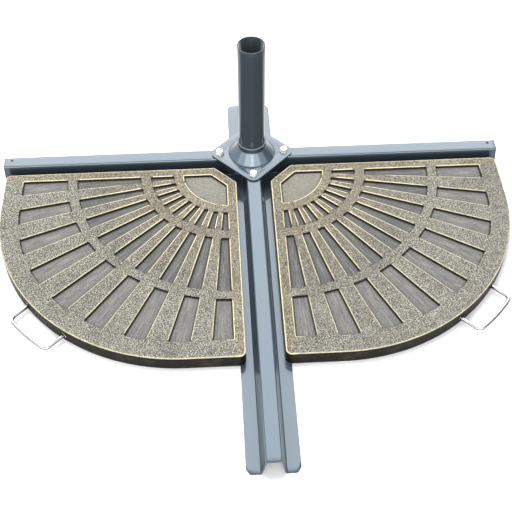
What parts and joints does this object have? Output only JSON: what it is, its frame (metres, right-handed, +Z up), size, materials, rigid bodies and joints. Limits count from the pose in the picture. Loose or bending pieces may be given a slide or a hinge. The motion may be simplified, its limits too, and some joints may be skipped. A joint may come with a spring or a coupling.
{
  "type": "parasol base",
  "caption": "Bolted steel cross stand with a mast socket and two removable cast quarter-fan weights, each with a pull-out wire carrying handle.",
  "frame": {"origin": "the middle of the footprint, on the floor; the mast's axis stands at y = +0.2525 m", "axes": "+Z up, +X along the right arm, -Y along the front bar, so that the weights lie on the -Y side of the arms"},
  "size_m": [1, 0.885, 0.31],
  "materials": {
    "slate_paint": "gloss slate-grey powder coat",
    "anthracite_paint": "gloss anthracite powder coat",
    "zinc_plate": "bright zinc plate",
    "cast_bronze": "grainy cast resin and cement, antique-bronze paint with rubbed gold edges",
    "chrome_wire": "bright chrome"
  },
  "bodies": {
    "stand": {"main_bar": "slate_paint", "left_arm": "slate_paint", "right_arm": "slate_paint", "centre_plate": "slate_paint", "socket_cone": "slate_paint", "mast_tube": "anthracite_paint", "front_bolt": "zinc_plate", "right_bolt": "zinc_plate", "back_bolt": "zinc_plate", "left_bolt": "zinc_plate", "front_washer": "zinc_plate", "right_washer": "zinc_plate", "back_washer": "zinc_plate", "left_washer": "zinc_plate", "front_nut": "zinc_plate", "right_nut": "zinc_plate", "back_nut": "zinc_plate", "left_nut": "zinc_plate"},
    "left_weight": {"left_weight": "cast_bronze", "left_inner_sleeve": "zinc_plate", "left_outer_sleeve": "zinc_plate"},
    "right_weight": {"right_weight": "cast_bronze", "right_inner_sleeve": "zinc_plate", "right_outer_sleeve": "zinc_plate"},
    "left_handle": {"left_handle": "chrome_wire"},
    "right_handle": {"right_handle": "chrome_wire"}
  },
  "joints": [
    {"name": "left_weight_lift", "type": "slide", "parent": "stand", "child": "left_weight", "axis": [0, 0, 1], "range_m": [0, 0.32]},
    {"name": "right_weight_lift", "type": "slide", "parent": "stand", "child": "right_weight", "axis": [0, 0, 1], "range_m": [0, 0.32]},
    {"name": "left_handle_pull", "type": "slide", "parent": "left_weight", "child": "left_handle", "axis": [-0.7071, -0.7071, 0], "range_m": [-0.028, 0]},
    {"name": "right_handle_pull", "type": "slide", "parent": "right_weight", "child": "right_handle", "axis": [0.7071, -0.7071, 0], "range_m": [-0.028, 0]}
  ]
}
